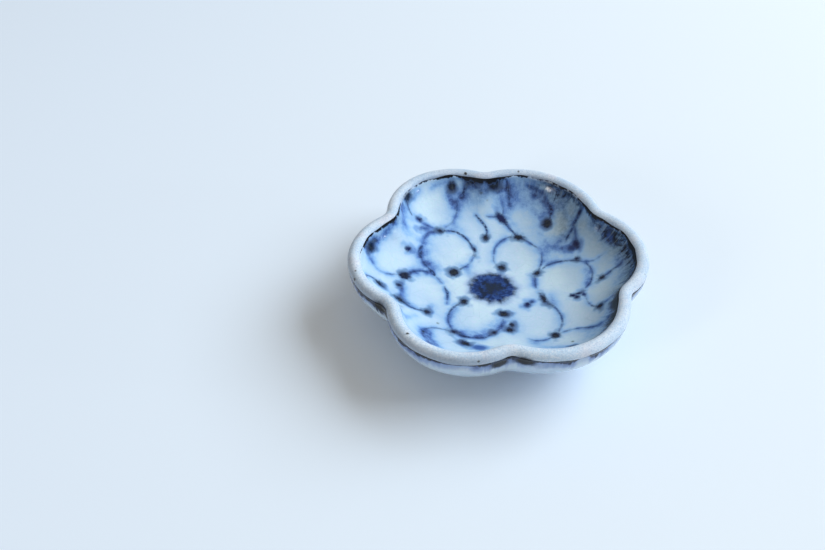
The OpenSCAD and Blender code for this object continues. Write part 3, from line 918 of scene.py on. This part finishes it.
# Dark grey-blue, in the same way: partly iron and cobalt run together in the glaze, partly painted
# shade on the walls turned from the window, mostly on the right and at the back.
smoke_and_shade_washes = [
    (0.8, 3.2, [(21, 34.6), (25.6, 31), (28.6, 26)]),
    (0.75, 2.6, [(32, 16), (34.4, 12.8), (36.6, 9.8)]), (0.3, 2.2, [(17, 34.4), (20, 31)]),
    (0.45, 3.4, [(24.4, 25), (23.6, 18.6)]),
    (0.9, 3.0, [(38, 8), (39.6, 2), (39.4, -4), (37.6, -9)]),
    (1.05, 2.3, [(33.6, -13), (32.2, -19), (30.4, -24), (27, -29.6), (24, -32.6)]),
    (0.35, 2.0, [(-5, 37), (-2, 36)]), (0.35, 1.8, [(2.4, 35.6), (4, 36)]),
    (0.25, 2.2, [(28, 22), (26.4, 17)]), (0.3, 1.4, [(-30.6, 17.6), (-29, 19.6)]),
    (0.3, 1.4, [(-38.4, 8.4), (-36, 11.6)]),
]
glaze_count = len(glaze_points)
line_gap = np.full(glaze_count, 9.0)
line_tone = np.zeros(glaze_count)
for width, darkness, path in vines:
    near, gap = stroke_gap(path, width, taper=0.35)
    keep_nearest(line_gap, line_tone, near, gap, darkness)
bud_gap = np.full(glaze_count, 9.0)
bud_tone = np.zeros(glaze_count)
for x, y, half_wide, half_tall, turn, darkness in buds:
    centre = on_glaze((x, y))
    away = glaze_points - centre
    near = np.flatnonzero(np.linalg.norm(away, axis=1) < 6)
    c, s = math.cos(math.radians(turn)), math.sin(math.radians(turn))
    u = away[near, 0] * c + away[near, 1] * s
    v = -away[near, 0] * s + away[near, 1] * c
    round_off = np.sqrt((u / half_wide) ** 2 + (v / half_tall) ** 2
                        + (away[near, 2] / min(half_wide, half_tall)) ** 2 * 0.6)
    gap = (round_off - 1) * min(half_wide, half_tall)
    keep_nearest(bud_gap, bud_tone, near, gap, darkness)
wash = np.zeros(glaze_count)
smoke_and_shade = np.zeros(glaze_count)
for brushed, layer in ((washes, wash), (smoke_and_shade_washes, smoke_and_shade)):
    for strength, spread, path in brushed:
        near, gap = stroke_gap(path, 0.2, 0, wide=3.5 * spread)
        layer[near] += strength * np.exp(-(np.maximum(gap, 0) / spread) ** 1.2)
# The flower in the middle: its place, its radius and its eleven uneven petals.
medallion_x, medallion_y, medallion_r = -1.1, -0.8, 6.9
x = glaze_points[:, 0] - medallion_x
y = glaze_points[:, 1] - medallion_y
turn = np.arctan2(y, x)
petals = medallion_r + 0.22 * np.cos(11 * turn + 0.5) + 0.3 * np.cos(2 * turn + 0.4)
petals += 0.25 * np.cos(5 * turn + 1.0)
medallion_gap = np.minimum(np.hypot(x, y) - petals, 9)
# Iron specks in the glaze: where each one is in the plan, and its radius.
glaze_specks = [(18.2, -29.2, 0.35), (-19, -17.6, 0.35), (-1.4, 35.2, 0.4), (0.6, 33.4, 0.2),
                (6.4, -31.6, 0.3)]
glaze_specks = [(*on_glaze((x, y)), radius) for x, y, radius in glaze_specks]
paint_field(glaze, "speck_gap", speck_gap(glaze_points, glaze_specks))
for name, values in (("line_gap", line_gap), ("line_tone", line_tone), ("bud_gap", bud_gap),
                     ("bud_tone", bud_tone), ("wash", wash), ("smoke_and_shade", smoke_and_shade),
                     ("medallion_gap", medallion_gap)):
    paint_field(glaze, name, values)

# Round the lip, at bearings in degrees from +X: how dark the seam is, and how far the glaze ran.
seam_darkness_at = [
    (-180, 0.12), (-165, 0.08), (-140, 0.03), (-110, 0.1), (-95, 0.12), (-80, 0.12), (-68, 0.3),
    (-62, 0.9), (-57, 2.0), (-52, 3.0), (-46, 2.9), (-40, 2.4), (-34, 2.0), (-28, 1.8), (-20, 1.6),
    (-8, 1.5), (0, 1.5), (8, 1.0), (14, 0.6), (20, 0.5), (25, 0.6), (28, 1.0), (31, 1.6), (34, 1.6),
    (37, 0.7), (42, 0.4), (50, 0.4), (60, 0.28), (70, 0.22), (77, 0.45), (84, 0.7), (90, 0.8),
    (97, 0.9), (104, 0.6), (115, 0.35), (122, 0.25), (130, 0.22), (138, 0.12), (144, 0.5),
    (148, 1.1), (152, 0.7), (157, 0.6), (163, 0.7), (170, 0.4), (176, 0.2), (180, 0.12),
]
run_strengths_at = [
    (-180, 0), (-110, 0.05), (-90, 0.1), (-70, 0.2), (-50, 0.5), (-30, 0.9), (-15, 1), (30, 1),
    (45, 0.9), (60, 0.7), (75, 0.4), (88, 0.5), (100, 0.25), (120, 0.1), (150, 0.2), (180, 0),
]
bearings = np.degrees(np.arctan2(glaze_outline[:, 1], glaze_outline[:, 0]))
seam_dark = np.interp(bearings, *zip(*seam_darkness_at))
seam_dark *= 1 + 0.5 * np.exp(-(glaze_notch / 4) ** 2)
paint_field(glaze, "seam_dark", seam_dark)
paint_field(glaze, "run_strength", np.interp(bearings, *zip(*run_strengths_at)))
paint_field(glaze, "seam_fall", glaze_falls)
paint_field(glaze, "lip_point", np.column_stack([glaze_outline, np.zeros(glaze_count)]))

# The glaze itself: milky blue, curdled in places, finely crazed and a little uneven.
poured_glaze, given, leave = new_group(
    "poured_glaze",
    [("Place", "NodeSocketVector"), ("Pale", "NodeSocketColor"), ("Deep", "NodeSocketColor"),
     ("Crazing", "NodeSocketFloat")],
    [("Colour", "NodeSocketColor"), ("Roughness", "NodeSocketFloat"),
     ("Height", "NodeSocketFloat")])
tree = poured_glaze
slow = clouds(tree, given["Place"], 0.07, 2.0)
milky = clouds(tree, given["Place"], 0.5, 3.0)
tone = colour_mix(tree, fade(tree, slow, 0.36, 0.64), given["Pale"], given["Deep"])
tone = colour_mix(tree, fade(tree, milky, 0.45, 0.75, 0.0, 0.35), tone, given["Deep"])
curdled = clouds(tree, given["Place"], 1.1, 2.0, 0.6)
tone = tinted(tree, tone, (208, 222, 248), curdled, 0.5, 0.72, 0.0, 0.5)
tone = tinted(tree, tone, (184, 220, 236), curdled, 0.48, 0.3, 0.0, 0.4)
bent = add_node(tree, "ShaderNodeVectorMath", {
    0: given["Place"], 1: add_node(tree, "ShaderNodeTexNoise", {
        "Vector": given["Place"], "Scale": 0.25}).outputs["Color"]}, operation="ADD").outputs[0]
cracks = add_node(tree, "ShaderNodeTexVoronoi", {"Vector": bent, "Scale": 0.2},
                  feature="DISTANCE_TO_EDGE").outputs["Distance"]
hair = fade(tree, cracks, 0.0, 0.018, 1.0, 0.0)
hair = times(tree, hair, given["Crazing"])
tone = colour_mix(tree, hair, tone, srgb(120, 150, 178))
tree.links.new(tone, leave.inputs["Colour"])
tree.links.new(fade(tree, milky, 0.3, 0.7, 0.1, 0.2), leave.inputs["Roughness"])
orange_peel = clouds(tree, given["Place"], 0.8, 1.0)
height = sum_up(tree, "SUBTRACT", orange_peel, times(tree, hair, 0.3))
tree.links.new(height, leave.inputs["Height"])

# Where the glaze ends, cobalt and iron gathered in a ragged seam and ran down in drips.
dark_seam, given, leave = new_group(
    "dark_seam",
    [("Lip Point", "NodeSocketVector"), ("Place", "NodeSocketVector"), ("Fall", "NodeSocketFloat"),
     ("Darkness", "NodeSocketFloat"), ("Raggedness", "NodeSocketFloat")],
    [("Seam", "NodeSocketFloat"), ("Runs", "NodeSocketFloat")])
tree = dark_seam
drips = clouds(tree, given["Lip Point"], 0.6, 2.0)
wide_drips = clouds(tree, given["Lip Point"], 0.16, 1.0)
ragged = clouds(tree, given["Place"], 0.8, 3.0, 0.6)
deep = sum_up(tree, "MULTIPLY_ADD", given["Darkness"], 1.9, 0.1)
deep = times(tree, deep, fade(tree, wide_drips, 0.4, 0.6, 0.6, 1.25))
dashes = clouds(tree, given["Lip Point"], 0.8, 1.0)
deep = times(tree, deep, fade(tree, dashes, 0.36, 0.56, 0.65, 1.1))
uneven = stirred(tree, given["Fall"], ragged, given["Raggedness"])
seam = sum_up(tree, "SUBTRACT", 1.0, sum_up(tree, "DIVIDE", uneven, deep), clamp=True)
seam = times(tree, seam, fade(tree, given["Darkness"], 0.0, 0.5))
tree.links.new(seam, leave.inputs["Seam"])
run = times(tree, fade(tree, drips, 0.35, 0.7), fade(tree, wide_drips, 0.3, 0.65))
run = sum_up(tree, "MULTIPLY_ADD", run, 9.0, 3.0)
gone = sum_up(tree, "DIVIDE", given["Fall"], run)
runs = fade(tree, gone, 0.0, 1.0, 1.0, 0.0)
tree.links.new(runs, leave.inputs["Runs"])


def seam_edge(tree, place, raggedness):
    """The dark seam and its runs, from the fields stored round the lip."""
    return use_group(tree, dark_seam, {
        "Lip Point": read_field(tree, "lip_point", "Vector"), "Place": place,
        "Fall": read_field(tree, "seam_fall"), "Darkness": read_field(tree, "seam_dark"),
        "Raggedness": raggedness})


def glossy_skin(tree, tone, roughness, height):
    """Ends a glaze's material in a gloss that ripples a little."""
    ripple = add_node(tree, "ShaderNodeBump", {"Strength": 0.25, "Distance": 0.0002,
                                               "Height": height})
    skin = add_node(tree, "ShaderNodeBsdfPrincipled", {
        "Base Color": tone, "Roughness": roughness, "Normal": ripple.outputs[0]})
    skin.inputs["IOR"].default_value = 1.42
    add_node(tree, "ShaderNodeOutputMaterial", {"Surface": skin.outputs[0]})


glaze_material, tree = bare_material("milky_glaze_over_cobalt")
place = in_millimetres(tree)
ground = use_group(tree, poured_glaze, {
    "Place": place, "Pale": srgb(205, 230, 245), "Deep": srgb(188, 216, 241), "Crazing": 0.16})
edge = seam_edge(tree, place, raggedness=2.8)
# The noises that fray the brushwork, from broad breaks to fine grain.
beads = clouds(tree, place, 0.95, 2.5, 0.65)
breaks = clouds(tree, place, 0.3, 1.0)
grain = clouds(tree, place, 1.8, 3.0, 0.7)
blot = stirred(tree, stirred(tree, 0.0, grain, 0.4), beads, 0.9)
# The brushed lines, paler where the brush ran dry, with the blue that bled from them.
stroke = sum_up(tree, "ADD", read_field(tree, "line_gap"), blot)
line_dark = read_field(tree, "line_tone")
line = fade(tree, stroke, -0.4, 0.22, 1.0, 0.0)
kept = fade(tree, sum_up(tree, "MULTIPLY_ADD", line_dark, 0.5, breaks), 0.5, 0.9)
line = times(tree, line, sum_up(tree, "MULTIPLY_ADD", kept, 0.6, 0.4))
dots = clouds(tree, place, 1.5, 1.5)
line = times(tree, line, fade(tree, dots, 0.38, 0.54, 0.62, 1.0))
near_halo = fade(tree, stroke, -0.2, 1.2, 0.34, 0.0)
far_halo = fade(tree, stroke, 0.0, 3.4, 0.19, 0.0)
line_halo = sum_up(tree, "ADD", near_halo, far_halo)
line_halo = times(tree, line_halo, fade(tree, breaks, 0.3, 0.7, 0.5, 1.3))
# The buds and how far their blue bled.
bud_gap = read_field(tree, "bud_gap")
bud = sum_up(tree, "MULTIPLY_ADD", blot, 1.7, bud_gap)
drift = clouds(tree, place, 0.45, 0.5)
bled = sum_up(tree, "MULTIPLY_ADD", blot, 1.2, stirred(tree, bud_gap, drift, 3.0))
bud_dark = read_field(tree, "bud_tone")
bud_core = fade(tree, bud, -0.5, 0.7, 1.0, 0.0)
bud_halo = fade(tree, bled, -0.2, 2.1, 0.5, 0.0)
# How much soft blue lies at each point, and its colours from the palest to the deepest.
soft = times(tree, read_field(tree, "wash"), fade(tree, breaks, 0.25, 0.75, 0.7, 1.3))
blue = sum_up(tree, "MAXIMUM", line_halo, bud_halo)
blue = sum_up(tree, "ADD", blue, soft)
runs = times(tree, edge["Runs"], read_field(tree, "run_strength"))
blue = sum_up(tree, "MULTIPLY_ADD", runs, 0.6, blue)
blue = times(tree, blue, fade(tree, grain, 0.3, 0.7, 0.85, 1.13))
blue = times(tree, blue, fade(tree, beads, 0.3, 0.7, 0.85, 1.15))
# The glaze turns greyer towards the right and the back: partly its own tone, partly painted shade
# on the walls turned from the window.
across = add_node(tree, "ShaderNodeVectorMath", {0: place, 1: (0.8, 0.3, 0)},
                  operation="DOT_PRODUCT").outputs["Value"]
tone = tinted(tree, ground["Colour"], (148, 173, 183), across, 4.0, 34.0, 0.0, 0.5)
tone = tinted(tree, tone, (148, 190, 234), blue, 0.0, 0.36, way="LINEAR")
tone = tinted(tree, tone, (98, 140, 204), blue, 0.36, 0.75, way="LINEAR")
tone = tinted(tree, tone, (62, 90, 150), blue, 0.75, 1.15, way="LINEAR")
tone = tinted(tree, tone, (28, 36, 60), blue, 1.15, 1.7, way="LINEAR")
# Iron greys with painted shade first, then the lines, then the buds with brown in the darkest of
# them.
smoke_and_shade = times(tree, read_field(tree, "smoke_and_shade"), fade(tree, beads, 0.35, 0.65, 0.7, 1.25))
smoke_and_shade = times(tree, smoke_and_shade, fade(tree, edge["Runs"], 0.0, 0.6, 0.75, 1.2), clamp=True)
tone = colour_mix(tree, smoke_and_shade, tone, srgb(26, 40, 60))
line_colour = colour_mix(tree, times(tree, line_dark, fade(tree, beads, 0.32, 0.55)),
                         srgb(60, 98, 160), srgb(14, 28, 64))
tone = colour_mix(tree, line, tone, line_colour)
smoke = times(tree, fade(tree, bled, 0.0, 1.6, 0.5, 0.0), fade(tree, bud_dark, 0.3, 0.8))
tone = colour_mix(tree, smoke, tone, srgb(84, 108, 130))
bud_colour = colour_mix(tree, fade(tree, bud_dark, 0.0, 0.45), srgb(60, 98, 168), srgb(8, 24, 72))
brown = times(tree, fade(tree, bud, -0.8, 0.4, 1.0, 0.0), fade(tree, bud_dark, 0.4, 0.95))
iron = colour_mix(tree, fade(tree, dots, 0.4, 0.6), srgb(8, 28, 50), srgb(36, 46, 58))
bud_colour = colour_mix(tree, brown, bud_colour, iron)
tone = colour_mix(tree, bud_core, tone, bud_colour)
# Burned specks, and the flower in the middle with its soft edge and darker heart.
burned = sum_up(tree, "MULTIPLY_ADD", blot, 0.8, read_field(tree, "speck_gap"))
tone = tinted(tree, tone, (70, 80, 76), burned, -0.3, 0.4, 0.8, 0.0)
medal = sum_up(tree, "MULTIPLY_ADD", blot, 1.3, read_field(tree, "medallion_gap"))
medal = stirred(tree, medal, drift, 2.0)
flower = fade(tree, medal, -1.3, 0.8, 1.0, 0.0)
flower_colour = colour_mix(tree, fade(tree, beads, 0.4, 0.66), srgb(16, 46, 100), srgb(44, 80, 144))
dabs = clouds(tree, place, 0.5, 2.0, 0.6)
flower_colour = tinted(tree, flower_colour, (14, 36, 64), dabs, 0.5, 0.38, 0.0, 0.9)
core = stirred(tree, fade(tree, medal, -7.0, -1.5, 0.75, 0.0), beads, 1.6)
flower_colour = tinted(tree, flower_colour, (24, 42, 64), core, 0.25, 0.7)
tone = tinted(tree, tone, (104, 144, 204), medal, 0.0, 2.6, 0.5, 0.0)
tone = colour_mix(tree, flower, tone, flower_colour)
# Pale runs of milk from the lip, the wiped edge and the dark seam along it.
milk = clouds(tree, read_field(tree, "lip_point", "Vector"), 0.7, 1.0)
milk = times(tree, fade(tree, milk, 0.5, 0.7, 0.0, 0.5), read_field(tree, "run_strength"))
milk = times(tree, milk, fade(tree, read_field(tree, "seam_fall"), 9.0, 2.0))
milk = times(tree, milk, fade(tree, breaks, 0.35, 0.65, 0.4, 1.1))
tone = colour_mix(tree, milk, tone, srgb(150, 178, 206))
wiped = fade(tree, read_field(tree, "seam_fall"), 0.0, 1.1, 0.6, 0.0)
wiped = times(tree, wiped, fade(tree, read_field(tree, "seam_dark"), 0.3, 1.0, 1.0, 0.1))
tone = colour_mix(tree, wiped, tone, srgb(206, 222, 238))
tone = tinted(tree, tone, (52, 76, 118), edge["Seam"], 0.0, 0.4)
tone = tinted(tree, tone, (9, 13, 22), edge["Seam"], 0.25, 0.55)
duller = sum_up(tree, "MULTIPLY_ADD", edge["Seam"], 0.5, ground["Roughness"])
glossy_skin(tree, tone, duller, ground["Height"])
glaze.data.materials.append(glaze_material)
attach(glaze, "root")
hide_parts("inner_glaze")


# Outer glaze
# The same glaze runs down the outside from a dark line under the lip. It pools in the notches,
# crosses the seat and stops in a soft roll on the side of the foot.
outer_coat = 0.35
outer_edge = lip_end_length + 0.3 - 0.8 * np.exp(-(notch_away / 3.6) ** 2)
outer_edge += 0.1 * np.sin(notch_away * 0.8) + 0.08 * np.cos(outline[:, 0] * 0.4)
outer_step = 0.5
outer_rings, outer_falls = [], []
steps = int((section_end_length - outer_edge.min()) / outer_step)
for share in np.linspace(0, 1, steps):
    run = outer_edge + (section_end_length - outer_edge) * share
    clay = ring_at(outline, ways, run, 0)
    pool = 0.08 * np.exp(-(notch_away / 3.5) ** 2) * ease((run - outer_edge) / 2)
    full = outer_coat + 0.05 * swell(clay) - 0.05
    coat = thinned(full, run - outer_edge, taper=3.0) + pool
    outer_rings.append(hand_press(ring_at(outline, ways, run, coat)))
    outer_falls.append(run - outer_edge)
spin = np.arctan2(outline[:, 1], outline[:, 0])
spokes = np.column_stack([np.cos(spin), np.sin(spin)])
hem = 2.1 + 0.25 * np.cos(3 * spin + 0.5) + 0.18 * np.cos(7 * spin + 1.9) + 0.1 * np.cos(13 * spin)


def skirt_ring(reach, height):
    """A ring on the side of the foot, where both numbers may change round the ring."""
    reach = np.broadcast_to(reach, around)
    return np.column_stack([spokes * reach[:, None], np.broadcast_to(height, around)])


skirt_top, skirt_bend = seat_height - outer_coat, 0.9
skirt_sunk = foot_outside - 0.25
skirt_fall = 30.0
for a in np.linspace(20, 90, 6):
    turn = math.radians(a)
    outer_rings.append(skirt_ring(foot_outside + 1.25 - 0.95 * math.sin(turn),
                                  skirt_top - skirt_bend * (1 - math.cos(turn))))
    outer_falls.append(np.full(around, skirt_fall))
for share in (0.25, 0.5, 0.75, 0.9, 1.0):
    height = (skirt_top - skirt_bend) + (hem - (skirt_top - skirt_bend)) * share
    roll = 0.28 * math.sqrt(max(0.0, 1 - share ** 8)) - 0.02
    outer_rings.append(skirt_ring(foot_outside + roll, height))
    outer_falls.append(np.full(around, skirt_fall))
outer_rings.append(skirt_ring(skirt_sunk, hem))
outer_rings.append(skirt_ring(skirt_sunk, seat_height + 0.1))
outer_falls += [np.full(around, skirt_fall)] * 2
for share in (1.0, 0.75, 0.5, 0.25, 0.06, 0.0):
    run = outer_edge + (section_end_length - outer_edge) * share
    outer_rings.append(hand_press(ring_at(outline, ways, run, -glaze_bite)))
    outer_falls.append(run - outer_edge)
outer, outer_points = lofted_piece("outer_wall_glaze", outer_rings)
outer_falls = np.concatenate(outer_falls)
outer_outline = np.tile(outline, (len(outer_rings), 1))
bearings = np.degrees(np.arctan2(outer_outline[:, 1], outer_outline[:, 0]))
# How dark the line under the lip is, at bearings in degrees from +X.
line_darkness_at = [
    (-180, 0.5), (-173, 0.8), (-166, 1.2), (-160, 1.7), (-152, 2.2), (-147, 1.4), (-142, 0.6),
    (-136, 0.9), (-130, 0.9), (-118, 0.8), (-113, 0.25), (-107, 0.2), (-103, 0.6), (-96, 0.8),
    (-84, 0.9), (-77, 0.6), (-73, 1.1), (-70, 0.9), (-67.5, 0.1), (-64.5, 0.1), (-61, 1.2),
    (-58, 1.1), (-54, 0.3), (-44, 0.12), (-32, 0.2), (-26, 1.0), (-19, 1.0), (-14, 0.3), (20, 0.6),
    (40, 0.3), (60, 0.8), (80, 0.2), (100, 0.6), (120, 0.9), (140, 0.3), (160, 0.6), (180, 0.5),
]
paint_field(outer, "seam_dark", np.interp(bearings, *zip(*line_darkness_at)))
paint_field(outer, "seam_fall", outer_falls)
paint_field(outer, "pool_stain", pool_stain(outer_points))
# The third number keeps this side's noise apart from the inner side's, where it is 0.
outer_side = np.full(len(outer_outline), 70)
paint_field(outer, "lip_point", np.column_stack([outer_outline, outer_side]))
outer_material, tree = bare_material("pale_outer_glaze")
place = in_millimetres(tree)
ground = use_group(tree, poured_glaze, {
    "Place": place, "Pale": srgb(204, 222, 236), "Deep": srgb(180, 204, 228), "Crazing": 0.15})
edge = seam_edge(tree, place, raggedness=0.9)
# Blue hangs under the dark line and fades down the wall.
streaks = clouds(tree, place, 0.3, 2.0)
blue = fade(tree, read_field(tree, "seam_fall"), 0.0, 5.0, 0.7, 0.0)
blue = times(tree, blue, fade(tree, streaks, 0.3, 0.7, 0.4, 1.2))
blue = sum_up(tree, "MULTIPLY_ADD", edge["Runs"], 0.4, blue, clamp=True)
blue = times(tree, blue, fade(tree, read_field(tree, "seam_dark"), 0.0, 0.7, 0.35, 1.0))
tone = colour_mix(tree, fade(tree, blue, 0.0, 0.6), ground["Colour"], srgb(142, 168, 212))
tone = tinted(tree, tone, (84, 106, 158), blue, 0.5, 1.0)
# A grey band along the glaze's top edge, under the lip and into the notches, strongest where the
# line is darkest: painted shade.
wiped = fade(tree, read_field(tree, "seam_fall"), 0.0, 0.9, 0.8, 0.0)
wiped = times(tree, wiped, fade(tree, read_field(tree, "seam_dark"), 0.0, 0.4, 0.5, 1.0))
tone = colour_mix(tree, wiped, tone, srgb(112, 128, 152))
tone = tinted(tree, tone, (54, 70, 108), edge["Seam"], 0.0, 0.4)
tone = tinted(tree, tone, (14, 20, 32), edge["Seam"], 0.15, 0.6)
tone = pooled(tree, tone, place, halo=(62, 78, 108), core=(18, 20, 24))
tone = speckled(tree, tone, place, spacing=7.0, size=0.6, strength=0.7, colour=(70, 62, 62))
glossy_skin(tree, tone, ground["Roughness"], ground["Height"])
outer.data.materials.append(outer_material)
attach(outer, "root")
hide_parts("outer_glaze")


# Glaze in the foot well
# A thin pool of the outer glaze that was wiped off the ring and left under the floor.
# It curls up a little where it meets the clay and lies uneven in the middle.
well_low, well_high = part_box("foot_well_glaze")
well_reach = (well_high.x - well_low.x) / MM / 2
well_face = well_low.z / MM
well_around = 160
well_angles = np.linspace(0, math.tau, well_around, endpoint=False)
well_spokes = np.column_stack([np.cos(well_angles), np.sin(well_angles)])
shore = well_reach - 0.18 + 0.1 * np.cos(5 * well_angles) + 0.07 * np.cos(11 * well_angles + 1)
well_rings = []
for share in np.linspace(0.04, 0.94, 24):
    flat = well_spokes * (shore * share)[:, None]
    level = well_face + 0.05 + 0.04 * swell(flat * 1.7)
    well_rings.append(np.column_stack([flat, level]))
for share, lift in ((0.97, 0.07), (0.99, 0.16), (1.0, 0.3), (1.0, 0.36)):
    flat = well_spokes * (shore * share)[:, None]
    well_rings.append(np.column_stack([flat, np.full(well_around, well_face + lift)]))
well_rings = [r[::-1] for r in well_rings]
well = lofted_piece("foot_well_glaze_pool", well_rings, (0, 0, well_face + 0.05),
                    (0, 0, well_face + 0.36))[0]
well_material, tree = bare_material("glaze_under_floor")
place = in_millimetres(tree)
ground = use_group(tree, poured_glaze, {
    "Place": place, "Pale": srgb(206, 222, 236), "Deep": srgb(184, 206, 228), "Crazing": 0.3})
tone = speckled(tree, ground["Colour"], place, spacing=5.0, size=0.6, strength=0.7,
                colour=(84, 74, 70))
glossy_skin(tree, tone, ground["Roughness"], ground["Height"])
well.data.materials.append(well_material)
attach(well, "root")
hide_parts("foot_well_glaze")
